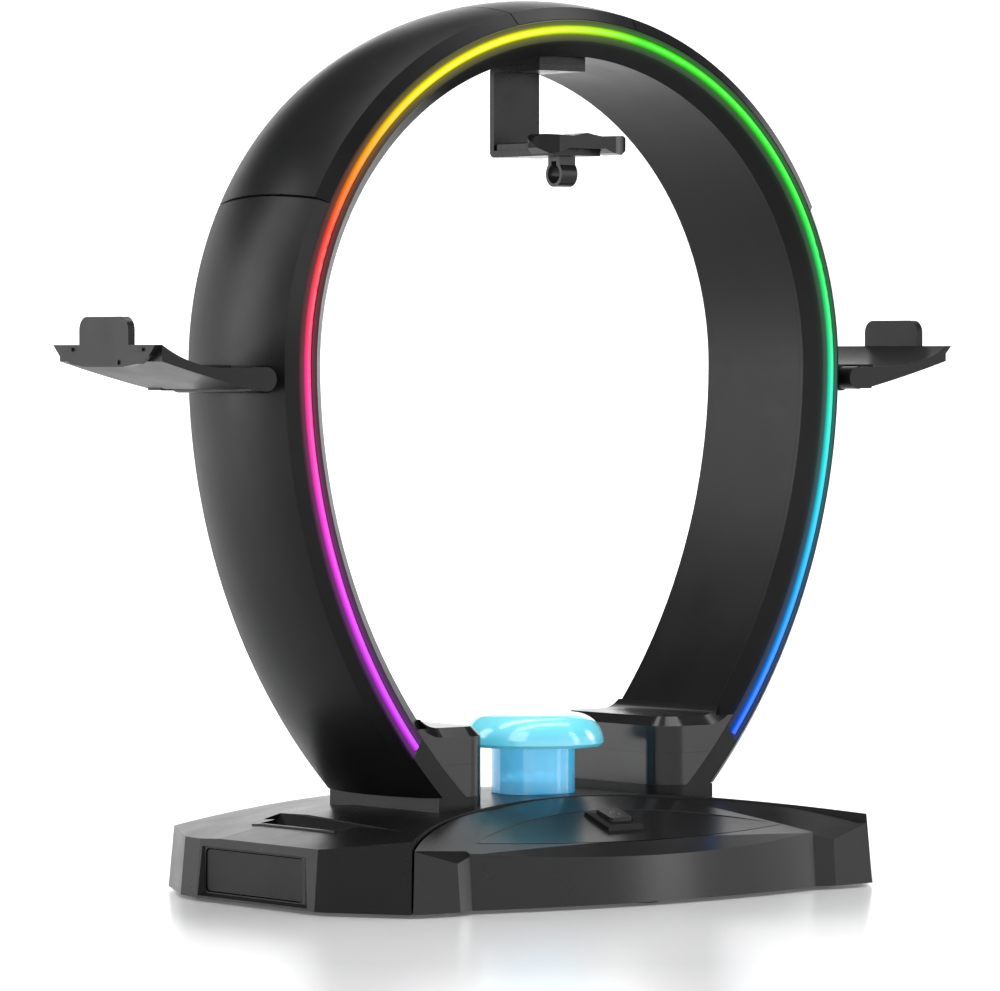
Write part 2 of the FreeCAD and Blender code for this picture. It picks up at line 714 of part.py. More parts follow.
def end_panel():
    """Plate that snaps into the right end of the base."""
    return end_plate(PANEL_FACE_X - PANEL_THICKNESS, PANEL_FACE_X, 0)


def ramp_space(drop, x_outer, height):
    """Everything above (or below) the leaning back rest of the slot."""
    rear = Vector(*RAMP_REAR)
    normal = (Vector(*RAMP_FRONT) - rear).cross(Vector(*RAMP_FOOT) - rear)
    slopes = (-normal.x / normal.z, -normal.y / normal.z)
    return plane_space((rear.x, rear.y, rear.z - drop), slopes, RAMP_INNER_X, x_outer, -60, 70, height)


def slot_insert():
    """Lining of the right pod's slot: thin rib, groove and leaning back rest."""
    body = slot_region(0, SLOT_FLOOR - LINING, SKY).common(deck_prism(0))
    groove = box(SLOT_BACK_X, SLOT_LEDGE_X, SLOT_GROOVE_Y[0], SLOT_GROOVE_Y[1], SLOT_FLOOR, SKY)
    rest = ramp_space(0, SLOT_BACK_X + 0.1, SKY)
    body = body.cut(groove).cut(rest)
    under = slot_region(-LINING, 0, SKY).common(ramp_space(LINING, SLOT_BACK_X - LINING, -SKY))
    rib = box(SLOT_LEDGE_X, SLOT_LEDGE_X + RIB_WIDTH, SLOT_GROOVE_Y[0], SLOT_GROOVE_Y[1], 20, SKY)
    rib = rib.common(deck_prism(-RIB_HEIGHT))
    lining = max(body.cut(under).Solids, key=lambda s: s.Volume)
    return lining.fuse(rib).removeSplitter()


# ------------------------------------------------------------------ feet of the arch
def foot_piece(z0, z1):
    """Block beside the right leg, cut to fit against it."""
    fit = arch_envelope(FIT)
    piece = foot_box(z0, z1).cut(fit)
    return max(piece.Solids, key=lambda s: s.Volume)


def leg_socket():
    """Lower block, between the collar and the foot block."""
    return foot_piece(COLLAR_TOP + FIT, SOCKET_TOP - FIT)


def leg_inner_x(z):
    """X of the inner face of the right leg at a height."""
    radius = LEG_RADIUS + INNER_OFFSET
    return ARCH_RADIUS - LEG_RADIUS + (radius ** 2 - (ARCH_CENTRE_Z - z) ** 2) ** 0.5


def foot_block():
    """Upper block with a bevelled top that runs up into the leg in a hollow curve."""
    corner = Vector(leg_inner_x(BLOCK_TOP), 0, BLOCK_TOP)
    higher = Vector(leg_inner_x(BLOCK_TOP + 1), 0, BLOCK_TOP + 1)
    along_leg = (higher - corner).normalize()
    bisector = (along_leg + Vector(-1, 0, 0)).normalize()
    cosine = -bisector.x
    sine = (1 - cosine ** 2) ** 0.5
    start = corner - Vector(BLEND_RADIUS * cosine / sine, 0, 0)
    end = corner + along_leg * (BLEND_RADIUS * cosine / sine)
    middle = corner + bisector * (BLEND_RADIUS / sine - BLEND_RADIUS)
    blend = Part.Arc(start, middle, end).toShape()
    tip = end + along_leg * 6
    low = SOCKET_TOP
    far = 72.0
    points = [end, tip, Vector(far, 0, tip.z), Vector(far, 0, low), Vector(BLOCK_INNER_X, 0, low)]
    points += [Vector(BLOCK_INNER_X, 0, BLOCK_TOP), start]
    sides = [Part.makeLine(a, b) for a, b in zip(points, points[1:])]
    profile = section_face([blend] + sides)
    profile.translate(Vector(0, ARCH_FRONT, 0))
    block = profile.extrude(Vector(0, ARCH_REAR - ARCH_FRONT, 0))
    upright = []
    for edge in block.Edges:
        vertical = abs(edge.tangentAt(edge.FirstParameter).z) > 0.9
        if vertical and edge.CenterOfMass.x < BLOCK_INNER_X + 0.1:
            upright.append(edge)
    block = block.makeFillet(FOOT_CORNER, upright)
    top_edges = []
    for edge in block.Edges:
        bounds = edge.BoundBox
        end_face = bounds.YLength > ARCH_REAR - ARCH_FRONT - 0.1
        if bounds.ZMin > BLOCK_TOP - 0.01 and bounds.XMax < tip.x + 0.01 and not end_face:
            top_edges.append(edge)
    block = block.makeChamfer(BLOCK_CHAMFER, top_edges)
    beside_bevel = above(arch_envelope(FIT, 0), BLOCK_TOP)
    piece = block.cut(arch_envelope(FIT)).cut(beside_bevel)
    return max(piece.removeSplitter().Solids, key=lambda s: s.Volume)


def leg_bolts():
    """Bolts from under the deck up into the foot blocks."""
    return group([screw(x, y, 20.5, 13.2, head=3.6, shank=1.9, depth=2.4) for x, y in BOLT_PLACES])


# ------------------------------------------------------------------ hanger
def hanger_mount():
    """Pad between the bracket and the curved inner wall of the arch."""
    half = HANGER_WIDTH / 2
    top = ARCH_CENTRE_Z + ARCH_RADIUS
    pad = box(-half, half, HANGER_FRONT, HANGER_Y + HANGER_PLATE, HANGER_TOP + FIT, top)
    bore = cylinder_y(0, ARCH_CENTRE_Z, ARCH_RADIUS + INNER_OFFSET - FIT, -REACH, REACH)
    return pad.common(bore)


def hanger_bracket():
    """Bent flat bar: top flange, upright and lower flange."""
    half = HANGER_WIDTH / 2
    rear = HANGER_Y + HANGER_PLATE
    upright = box(-half, half, HANGER_Y, rear, SADDLE_BOTTOM, HANGER_TOP)
    top = box(-half, half, HANGER_FRONT, HANGER_Y + 1, HANGER_TOP - HANGER_PLATE, HANGER_TOP)
    foot = box(-half, half, FLANGE_FRONT, HANGER_Y + 1, SADDLE_BOTTOM, SADDLE_BOTTOM + HANGER_PLATE)
    bar = upright.fuse([top, foot]).removeSplitter()
    bends = []
    for edge in bar.Edges:
        place = edge.CenterOfMass
        along_x = abs(edge.tangentAt(edge.FirstParameter).x) > 0.9
        if along_x and place.y > rear - 0.1:
            bends.append(edge)
    return bar.makeFillet(2.0, bends).cut(flange_sinks())


def flange_sinks():
    """Countersunk holes in the top flange."""
    low = HANGER_TOP - HANGER_PLATE
    cones = [Part.makeCone(2.3, 1.2, HANGER_PLATE + 0.1, Vector(0, y, low - 0.05)) for y in HANGER_SCREW_Y]
    return group(cones)


def hanger_screws():
    """Two flat-head screws, flush with the underside of the top flange."""
    low = HANGER_TOP - HANGER_PLATE + 0.1
    heads = [Part.makeCone(2.15, 1.05, HANGER_PLATE - 0.15, Vector(0, y, low)) for y in HANGER_SCREW_Y]
    return group(heads)


def saddle_outline(seat_low):
    """Front view of the gull wings, in X and Z."""
    z = SADDLE_BOTTOM
    tip = SADDLE_HALF
    right = [(2.5, z + 6.8), (6.0, z + 6.3), (tip - 3.5, z + 6.7), (tip - 0.8, z + 5.9), (tip, z + 4.4)]
    right += [(tip - 0.9, z + 2.2), (tip - 4.5, z + 0.4), (11.0, z + 0.9), (7.5, z + 2.3), (5.5, seat_low)]
    left = [(-x, height) for x, height in reversed(right)]
    return [(0.0, z + 7.3)] + right + left


def saddle_leaf():
    """Plan of the wings, a long ellipse between their front and rear."""
    depth = SADDLE_WING_REAR - SADDLE_FRONT
    middle_y = (SADDLE_FRONT + SADDLE_WING_REAR) / 2
    leaf = Part.makeCylinder(SADDLE_HALF, 20, Vector(0, 0, SADDLE_BOTTOM - 2))
    plan = FreeCAD.Matrix()
    plan.scale(1, depth / (2 * SADDLE_HALF) * 1.25, 1)
    leaf = leaf.transformGeometry(plan)
    leaf.translate(Vector(0, middle_y, 0))
    return leaf


def saddle():
    """Seat for the headband with a front stop: a hump and two leaf-shaped wings."""
    seat_low = SADDLE_BOTTOM + HANGER_PLATE + FIT
    half = HANGER_WIDTH / 2
    crown = 60.0
    crown_start = Vector(0, SADDLE_FRONT, SEAT_TOP - crown)
    crown_bar = Part.makeCylinder(crown, SADDLE_REAR - SADDLE_FRONT, crown_start, Vector(0, 1, 0))
    seat = rounded_box(-half, half, FLANGE_FRONT + 1, SADDLE_REAR, seat_low, SEAT_TOP + 1, 2.0)
    wings = prism_xz(saddle_outline(seat_low), SADDLE_FRONT, SADDLE_WING_REAR).common(saddle_leaf())
    notch = box(-half - FIT, half + FIT, FLANGE_FRONT - FIT, 0, SADDLE_BOTTOM - 1, seat_low)
    return seat.common(crown_bar).fuse(wings.cut(notch)).removeSplitter()


def cable_hook():
    """Small open loop under the seat for a lead."""
    half_x = 3.3
    z = SADDLE_BOTTOM - 5.8
    ring = Part.makeCylinder(4.2, 2 * half_x, Vector(-half_x, HOOK_Y, z), MIRROR_X)
    neck = box(-half_x, half_x, HOOK_Y - 3.0, HOOK_Y + 3.0, z, SADDLE_BOTTOM - FIT)
    eye = Part.makeCylinder(3.1, 4 * half_x, Vector(-2 * half_x, HOOK_Y, z), MIRROR_X)
    gap = box(-2 * half_x, 2 * half_x, HOOK_Y - 1.3, HOOK_Y + 1.3, z, SADDLE_BOTTOM - 1.6)
    return ring.fuse(neck).cut(eye).cut(gap)


# ------------------------------------------------------------------ trays
def tray_bracket():
    """Middle knuckle of the right hinge, screwed to the leg."""
    half = 19.5
    y0 = TRAY_MID_Y - half
    y1 = TRAY_MID_Y + half
    knuckle = cylinder_y(HINGE_X, HINGE_Z, KNUCKLE_RADIUS, y0, y1)
    web = box(110, HINGE_X, y0, y1, HINGE_Z - KNUCKLE_RADIUS, HINGE_Z + KNUCKLE_RADIUS)
    body = knuckle.fuse(web).cut(arch_envelope(FIT))
    body = max(body.Solids, key=lambda s: s.Volume)
    return body.cut(cylinder_y(HINGE_X, HINGE_Z, PIN_RADIUS, y0 - 1, y1 + 1)).removeSplitter()


def hinge_pin():
    """Steel pin through all three knuckles."""
    half = TRAY_HALF - 1.2
    return cylinder_y(HINGE_X, HINGE_Z, PIN_RADIUS, TRAY_MID_Y - half, TRAY_MID_Y + half)


def tray_profile():
    """Side outline of the arm: flat at the root, rising and tapering towards the end plate."""
    root_x = HINGE_X + 5.4
    top_root = HINGE_Z + 3.6
    flat_end = Vector(139, 0, top_root)
    tip = Vector(TRAY_END_X, 0, TRAY_END_TOP)
    tip_low = Vector(TRAY_END_X, 0, TRAY_END_TOP - 5.2)
    root_low = Vector(root_x, 0, HINGE_Z - 3.2)
    rise = Part.Arc(flat_end, Vector(153, 0, top_root + 2.4), tip).toShape()
    start = Part.makeLine(Vector(root_x, 0, top_root), flat_end)
    end = Part.makeLine(tip, tip_low)
    belly = Part.Arc(tip_low, Vector(144, 0, HINGE_Z + 0.5), root_low).toShape()
    close = Part.makeLine(root_low, Vector(root_x, 0, top_root))
    return section_face([start, rise, end, belly, close])


def tray_arm():
    """Curved arm of the right tray with its two outer knuckles."""
    y0 = TRAY_MID_Y - TRAY_HALF
    y1 = TRAY_MID_Y + TRAY_HALF
    face = tray_profile()
    face.translate(Vector(0, y0, 0))
    arm = face.extrude(Vector(0, y1 - y0, 0))
    knuckle_width = 7.2
    for start in (y0, y1 - knuckle_width):
        knuckle = cylinder_y(HINGE_X, HINGE_Z, KNUCKLE_RADIUS - 0.6, start, start + knuckle_width)
        link = box(HINGE_X, HINGE_X + 6, start, start + knuckle_width, HINGE_Z - 3.6, HINGE_Z + 3.6)
        arm = arm.fuse([knuckle, link])
    arm = arm.cut(cylinder_y(HINGE_X, HINGE_Z, PIN_RADIUS + RUNNING_FIT, y0 + 1.1, y1 - 1.1))
    return arm.removeSplitter()


def stop_outline():
    """Rear view of the end plate, in Y and Z: flat on top, with a keel that rises to both ends."""
    top = TRAY_END_TOP
    front = [(-TRAY_HALF, top), (-TRAY_HALF + 3.6, top - 3.4), (-TRAY_HALF + 10, top - 6.0)]
    front += [(-TRAY_HALF + 18, top - 6.9)]
    rear = [(-y, z) for y, z in reversed(front)]
    return [(TRAY_MID_Y + y, z) for y, z in front + rear]


def tray_stop():
    """End plate with slanted ends, small nubs and the tab that keeps the controller on the tray."""
    x0 = TRAY_END_X + FIT
    x1 = x0 + STOP_PLATE
    top = TRAY_END_TOP
    mid = TRAY_MID_Y
    plate = prism_yz(stop_outline(), x0, x1)
    tab = box(x0, x1, mid - TAB_HALF, mid + TAB_HALF, top - 4, TAB_TOP)
    along_x = [e for e in tab.Edges if abs(e.tangentAt(e.FirstParameter).x) > 0.9]
    corners = [e for e in along_x if e.CenterOfMass.z > TAB_TOP - 0.1]
    root = x1 - 0.5
    nubs = [box(root, x1 + 0.7, mid + y - 2.5, mid + y + 2.5, top - 2.0, top - 0.9) for y in (-19.5, 19.5)]
    nubs.append(box(root, x1 + 0.6, mid - 8.6, mid - 7.2, top - 6.2, top - 4.8))
    nubs.append(box(root, x1 + 0.3, mid - 7.2, mid + 7.4, top - 5.3, top - 4.9))
    return plate.fuse(tab.makeFillet(TAB_CORNER, corners)).fuse(nubs).removeSplitter()


def tray_pad():
    """Thin rubber pad on the flat part of the arm."""
    top = HINGE_Z + 3.6
    return rounded_box(HINGE_X + 6.4, 138.6, TRAY_MID_Y - 20, TRAY_MID_Y + 20, top + FIT, top + 0.9, 3.0)


# ------------------------------------------------------------------ cable winder
def winder_drum():
    """Hollow drum that the lead is wound on."""
    wall = 2.2
    drum = cylinder_z(0, WINDER_Y, DRUM_RADIUS, DRUM_BOTTOM, CAP_BOTTOM - FIT)
    return drum.cut(cylinder_z(0, WINDER_Y, DRUM_RADIUS - wall, DRUM_BOTTOM - 1, CAP_BOTTOM + 1))


def winder_cap():
    """Domed translucent cap over the drum."""
    wall = 2.0
    outer = dome(CAP_RADIUS, CAP_BOTTOM, CAP_TOP)
    inner = dome(CAP_RADIUS - wall, CAP_BOTTOM - 1, CAP_TOP - wall)
    floor = cylinder_z(0, WINDER_Y, CAP_RADIUS - wall, CAP_BOTTOM, CAP_BOTTOM + wall)
    return outer.cut(inner).fuse(floor).removeSplitter()


def dome(radius, z0, z1):
    """Flat-topped dome, as a turned profile."""
    tall = z1 - z0
    points = [Vector(0, 0, z0), Vector(radius - 0.8, 0, z0), Vector(radius, 0, z0 + 1.0)]
    edges = [Part.makeLine(a, b) for a, b in zip(points, points[1:])]
    shoulder = Vector(radius * 0.93, 0, z0 + tall * 0.62)
    top = Vector(radius * 0.5, 0, z1)
    edges.append(Part.Arc(points[-1], shoulder, top).toShape())
    edges.append(Part.makeLine(top, Vector(0, 0, z1)))
    edges.append(Part.makeLine(Vector(0, 0, z1), points[0]))
    solid = Part.Face(Part.Wire(edges)).revolve(ORIGIN, Vector(0, 0, 1), 360)
    solid.translate(Vector(0, WINDER_Y, 0))
    return solid


def winder_light_board():
    """Round board with a ring of lamps inside the drum."""
    low = 36.0
    top = low + 1.2
    board = cylinder_z(0, WINDER_Y, DRUM_RADIUS - 2.6, low, top)
    lamps = []
    lamp_count = 6
    for i in range(lamp_count):
        lamp = box(-1.2, 1.2, 5.8, 8.2, top, top + 1.2)
        lamp.rotate(ORIGIN, Vector(0, 0, 1), i * 360 / lamp_count)
        lamp.translate(Vector(0, WINDER_Y, 0))
        lamps.append(lamp)
    return board.fuse(lamps)


# ------------------------------------------------------------------ all pieces
SINGLE = {
    "base_top_cover": base_top_cover,
    "base_bottom_plate": base_bottom_plate,
    "base_screws": base_screws,
    "rubber_feet": rubber_feet,
    "front_apron": front_apron,
    "main_board": main_board,
    "usb_inlet": usb_inlet,
    "switch_board": switch_board,
    "button_switch": button_switch,
    "button_bezel": button_bezel,
    "power_button": power_button,
    "leg_bolts": leg_bolts,
    "top_cap": top_cap,
    "hanger_mount": hanger_mount,
    "hanger_bracket": hanger_bracket,
    "hanger_screws": hanger_screws,
    "saddle": saddle,
    "cable_hook": cable_hook,
    "winder_drum": winder_drum,
    "winder_cap": winder_cap,
    "winder_light_board": winder_light_board,
}

PAIRED = {
    "ballast_plate": ballast_plate,
    "end_panel": end_panel,
    "slot_insert": slot_insert,
    "leg_socket": leg_socket,
    "foot_block": foot_block,
    "arch_shell": arch_shell,
    "front_trim": front_trim,
    "light_diffuser": light_diffuser,
    "light_strip": light_strip,
    "leg_cover": leg_cover,
    "wing_cover": wing_cover,
    "tray_bracket": tray_bracket,
    "hinge_pin": hinge_pin,
    "tray_arm": tray_arm,
    "tray_stop": tray_stop,
    "tray_pad": tray_pad,
}


def save(name, shape):
    """Writes one piece and prints its size."""
    shape.exportStep(os.path.join("parts", name + ".step"))
    bounds = shape.BoundBox
    sizes = "%.1f %.1f %.1f" % (bounds.XLength, bounds.YLength, bounds.ZLength)
    state = "valid" if shape.isValid() else "INVALID"
    print(name, len(shape.Solids), state, sizes, "%.1f" % shape.Volume)


os.makedirs("parts", exist_ok=True)
for name, make in SINGLE.items():
    save(name, make())
for name, make in PAIRED.items():
    right = make()
    save("right_" + name, right)
    save("left_" + name, mirrored(right))
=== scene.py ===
"""Looks of the headphone stand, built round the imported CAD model. Metres, +Z up."""

import json
import math

import bmesh
import bpy
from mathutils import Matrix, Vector


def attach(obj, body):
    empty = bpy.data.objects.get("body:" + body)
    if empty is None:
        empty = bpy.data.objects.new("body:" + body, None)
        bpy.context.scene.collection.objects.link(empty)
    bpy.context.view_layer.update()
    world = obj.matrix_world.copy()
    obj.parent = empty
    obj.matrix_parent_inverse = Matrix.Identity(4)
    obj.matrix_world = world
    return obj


MM = 0.001

# ---- camera: seen from the front left, a little above the table ----
CAMERA_AZIMUTH = 38.3
CAMERA_DISTANCE = 1.967
CAMERA_HEIGHT = 0.175
CAMERA_LENS = 216.0
CAMERA_CENTRE_Y = -5.7 * MM
CAMERA_TARGET = (-10.7 * MM, 2.7 * MM, 129.6 * MM)

# ---- arch, as in the CAD model ----
ARCH_CENTRE_Z = 172.5 * MM
ARCH_RADIUS = 108.8 * MM
LEG_RADIUS = 196.0 * MM
GROOVE_HALF = 1.6 * MM
LIGHT_END_ANGLE = 152.2
# how far the painted glow reaches past the groove edge
PAINTED_GLOW_REACH = 3.4 * MM

# ---- cable winder, as in the CAD model ----
DRUM_BOTTOM = 32.0 * MM
CAP_BOTTOM = 47.5 * MM
CAP_TOP = 57.9 * MM

# ---- base, as in the CAD model ----
CREASE_Y = -60.5 * MM
CREASE_Z = 20.2 * MM
CREASE_RADIUS = 240.5 * MM
CREASE_CENTRE_Y = 179.7 * MM
CREASE_HALF_X = 63.0 * MM
MAIN_CLIMB = 0.3151
SIDE_FALL = 0.3
KEY_CENTRE_Y = -44.0 * MM
KEY_FALL = 0.32
KEY_MID_Z = 27.572 * MM

# ---- thin detail strips: half width, and height over the surface under them ----
# the crease strip is painted shade
CREASE_SHADE_HALF_WIDTH = 0.16 * MM
CREASE_SHADE_LIFT = 0.04 * MM
ICON_RADIUS = 1.55 * MM
ICON_HALF_WIDTH = 0.15 * MM
ICON_LIFT = 0.03 * MM

# ---- noise textures keep mostly between these two values ----
NOISE_LOW = 0.3
NOISE_HIGH = 0.7

# ---- light ----
LIGHT_STRENGTH = 0.95
# strength of the glow painted onto the trim beside the light line
PAINTED_GLOW_STRENGTH = 0.16
WORLD_STRENGTH = 0.08
LIGHT_TARGET = (0.0, 0.0, 0.15)
NEAR_FLOOR_GLOW = 0.10
GLOW_START = 0.25
GLOW_END = 1.1
WALL_RADIUS = 6.0
WALL_HEIGHT = 2.2

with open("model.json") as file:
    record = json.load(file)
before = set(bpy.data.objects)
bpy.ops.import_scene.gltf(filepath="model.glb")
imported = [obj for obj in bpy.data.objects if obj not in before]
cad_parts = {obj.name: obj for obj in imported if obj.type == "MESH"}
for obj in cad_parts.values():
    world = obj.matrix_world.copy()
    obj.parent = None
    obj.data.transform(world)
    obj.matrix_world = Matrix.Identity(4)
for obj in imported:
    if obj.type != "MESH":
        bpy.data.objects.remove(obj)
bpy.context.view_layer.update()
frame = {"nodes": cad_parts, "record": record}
nodes = frame["nodes"]


# ------------------------------------------------------------------ node materials
def new_material(name):
    """A material with its node tree and its surface shader."""
    material = bpy.data.materials.new(name)
    material.use_nodes = True
    tree = material.node_tree
    shader = tree.nodes["Principled BSDF"]
    return material, tree, shader


def add(tree, kind, **settings):
    """One new node of a material."""
    node = tree.nodes.new(kind)
    for key, value in settings.items():
        setattr(node, key, value)
    return node


def noise(tree, scale, detail=3.0, roughness=0.55):
    """Noise over the object's own coordinates, so that it doesn't slide between views."""
    place = add(tree, "ShaderNodeTexCoord")
    texture = add(tree, "ShaderNodeTexNoise")
    texture.inputs["Scale"].default_value = scale
    texture.inputs["Detail"].default_value = detail
    texture.inputs["Roughness"].default_value = roughness
    tree.links.new(place.outputs["Object"], texture.inputs["Vector"])
    return texture.outputs["Fac"]


def ramp(tree, source, stops, interpolation="LINEAR"):
    """Colour ramp from (place, colour) stops."""
    node = add(tree, "ShaderNodeValToRGB")
    band = node.color_ramp
    band.interpolation = interpolation
    while len(band.elements) > 1:
        band.elements.remove(band.elements[-1])
    first_place, first_colour = stops[0]
    band.elements[0].position = first_place
    band.elements[0].color = (*first_colour, 1)
    for place, colour in stops[1:]:
        element = band.elements.new(place)
        element.color = (*colour, 1)
    tree.links.new(source, node.inputs["Fac"])
    return node.outputs["Color"]


def map_range(tree, source, from_low, from_high, to_low, to_high):
    """Maps one range of values onto another, clamped."""
    node = add(tree, "ShaderNodeMapRange")
    node.inputs["From Min"].default_value = from_low
    node.inputs["From Max"].default_value = from_high
    node.inputs["To Min"].default_value = to_low
    node.inputs["To Max"].default_value = to_high
    tree.links.new(source, node.inputs["Value"])
    return node.outputs["Result"]


def spread(tree, source, low, high):
    """Maps a noise value onto low to high."""
    return map_range(tree, source, NOISE_LOW, NOISE_HIGH, low, high)


def maths(tree, operation, a, b=None):
    """One sum; each input is a number or an output of another node."""
    node = add(tree, "ShaderNodeMath", operation=operation)
    for slot, value in enumerate((a, b)):
        if value is None:
            continue
        if isinstance(value, (int, float)):
            node.inputs[slot].default_value = value
        else:
            tree.links.new(value, node.inputs[slot])
    return node.outputs[0]


def place_parts(tree):
    """X, Y and Z of the object's own coordinates."""
    place = add(tree, "ShaderNodeTexCoord")
    parts = add(tree, "ShaderNodeSeparateXYZ")
    tree.links.new(place.outputs["Object"], parts.inputs["Vector"])
    return parts.outputs


def bump(tree, shader, height, strength, distance):
    """Small relief on the surface."""
    node = add(tree, "ShaderNodeBump")
    node.inputs["Strength"].default_value = strength
    node.inputs["Distance"].default_value = distance
    tree.links.new(height, node.inputs["Height"])
    tree.links.new(node.outputs["Normal"], shader.inputs["Normal"])


def moulded(name, colour, roughness, grain=0.06, coat=0.0, specular=0.13):
    """Moulded plastic: fine spark-eroded grain, faint cloudiness in tone and gloss."""
    material, tree, shader = new_material(name)
    cloud = noise(tree, 22.0, 4.0)
    dark = [c * 0.82 for c in colour]
    light = [min(c * 1.22, 1.0) for c in colour]
    tone = ramp(tree, cloud, [(NOISE_LOW, dark), (NOISE_HIGH, light)])
    tree.links.new(tone, shader.inputs["Base Color"])
    smear = noise(tree, 60.0, 5.0, 0.65)
    tree.links.new(spread(tree, smear, roughness - 0.035, roughness + 0.035), shader.inputs["Roughness"])
    shader.inputs["Specular IOR Level"].default_value = specular
    shader.inputs["Coat Weight"].default_value = coat
    shader.inputs["Coat Roughness"].default_value = 0.12
    bump(tree, shader, noise(tree, 2600.0, 2.0), grain, 0.05 * MM)
    return material, tree, shader


def plain(name, colour, roughness, **more):
    """Moulded plastic with nothing added."""
    return moulded(name, colour, roughness, **more)[0]


def metal(name, colour, roughness):
    """Plated steel with fine scratches."""
    material, tree, shader = new_material(name)
    shader.inputs["Metallic"].default_value = 1.0
    scratch = noise(tree, 900.0, 6.0, 0.7)
    dark = [c * 0.8 for c in colour]
    tone = ramp(tree, scratch, [(NOISE_LOW, dark), (NOISE_HIGH, colour)])
    tree.links.new(tone, shader.inputs["Base Color"])
    tree.links.new(spread(tree, scratch, roughness - 0.06, roughness + 0.08), shader.inputs["Roughness"])
    return material


def circuit(name):
    """Green solder mask with faint tracks."""
    material, tree, shader = new_material(name)
    place = add(tree, "ShaderNodeTexCoord")
    tracks = add(tree, "ShaderNodeTexVoronoi", feature="DISTANCE_TO_EDGE")
    tracks.inputs["Scale"].default_value = 260.0
    tree.links.new(place.outputs["Object"], tracks.inputs["Vector"])
    track = (0.05, 0.22, 0.10)
    mask = (0.012, 0.09, 0.04)
    colour = ramp(tree, tracks.outputs["Distance"], [(0.0, track), (0.08, mask)])
    tree.links.new(colour, shader.inputs["Base Color"])
    shader.inputs["Roughness"].default_value = 0.35
    return material


# Colours of the light line, from the left foot over the top to the right foot.
LIGHT_STOPS = [
    (0.00, (0.60, 0.03, 0.90)),
    (0.06, (0.72, 0.03, 0.92)),
    (0.12, (0.95, 0.03, 0.70)),
    (0.16, (1.00, 0.03, 0.45)),
    (0.22, (1.00, 0.03, 0.15)),
    (0.28, (1.00, 0.06, 0.02)),
    (0.31, (1.00, 0.20, 0.00)),
    (0.335, (1.00, 0.42, 0.00)),
    (0.36, (1.00, 0.68, 0.00)),
    (0.39, (1.00, 0.88, 0.00)),
    (0.45, (0.95, 0.95, 0.00)),
    (0.50, (0.62, 0.95, 0.00)),
    (0.52, (0.35, 0.90, 0.00)),
    (0.545, (0.05, 0.82, 0.00)),
    (0.70, (0.00, 0.80, 0.02)),
    (0.77, (0.00, 0.82, 0.20)),
    (0.80, (0.00, 0.80, 0.42)),
    (0.84, (0.00, 0.75, 0.68)),
    (0.88, (0.00, 0.60, 0.85)),
    (0.93, (0.00, 0.36, 0.95)),
    (1.00, (0.00, 0.10, 0.90)),
]


def light_share(tree):
    """0 at the left foot of the light line and 1 at the right foot."""
    parts = place_parts(tree)
    height = maths(tree, "SUBTRACT", parts["Z"], ARCH_CENTRE_Z)
    turn = maths(tree, "ARCTAN2", parts["X"], height)
    end_turn = math.radians(LIGHT_END_ANGLE)
    return map_range(tree, turn, -end_turn, end_turn, 0.0, 1.0)


def line_offset(tree):
    """Distance from the middle of the light line, in the plane of the arch."""
    parts = place_parts(tree)
    side = maths(tree, "ABSOLUTE", parts["X"])
    height = maths(tree, "SUBTRACT", parts["Z"], ARCH_CENTRE_Z)
    height_squared = maths(tree, "MULTIPLY", height, height)
    gaps = []
    for centre, radius in ((0.0, ARCH_RADIUS), (LEG_RADIUS - ARCH_RADIUS, LEG_RADIUS)):
        reach = maths(tree, "ADD", side, centre)
        total = maths(tree, "ADD", maths(tree, "MULTIPLY", reach, reach), height_squared)
        gap = maths(tree, "SUBTRACT", maths(tree, "SQRT", total), radius)
        gaps.append(maths(tree, "ABSOLUTE", gap))
    upper = maths(tree, "GREATER_THAN", height, 0.0)
    lower = maths(tree, "SUBTRACT", 1.0, upper)
    top_gap = maths(tree, "MULTIPLY", gaps[0], upper)
    leg_gap = maths(tree, "MULTIPLY", gaps[1], lower)
    return maths(tree, "ADD", top_gap, leg_gap)


WHITE = (1.0, 1.0, 1.0)
BLACK = (0.0, 0.0, 0.0)


def mix_colour(tree, share, a, b):
    """Blend of two colours; each colour is a tuple or an output."""
    node = add(tree, "ShaderNodeMix", data_type="RGBA")
    for slot, value in ((0, share), (6, a), (7, b)):
        if isinstance(value, tuple):
            node.inputs[slot].default_value = (*value, 1.0)
        elif isinstance(value, float):
            node.inputs[slot].default_value = value
        else:
            tree.links.new(value, node.inputs[slot])
    return node.outputs[2]


def light_line():
    """Lit diffuser: its colour turns round the arch centre, and its edges are deeper."""
    material, tree, shader = new_material("light_line")
    colour = ramp(tree, light_share(tree), LIGHT_STOPS)
    offset = line_offset(tree)
    core = map_range(tree, offset, 0.0, 0.6 * MM, 0.08, 0.0)
    lit = mix_colour(tree, core, colour, WHITE)
    shade = map_range(tree, offset, 0.6 * MM, 1.5 * MM, 0.0, 0.8)
    tree.links.new(mix_colour(tree, 0.85, colour, BLACK), shader.inputs["Base Color"])
    tree.links.new(mix_colour(tree, shade, lit, BLACK), shader.inputs["Emission Color"])
    shader.inputs["Emission Strength"].default_value = LIGHT_STRENGTH
    shader.inputs["Roughness"].default_value = 0.3
    shader.inputs["Specular IOR Level"].default_value = 0.2
    return material


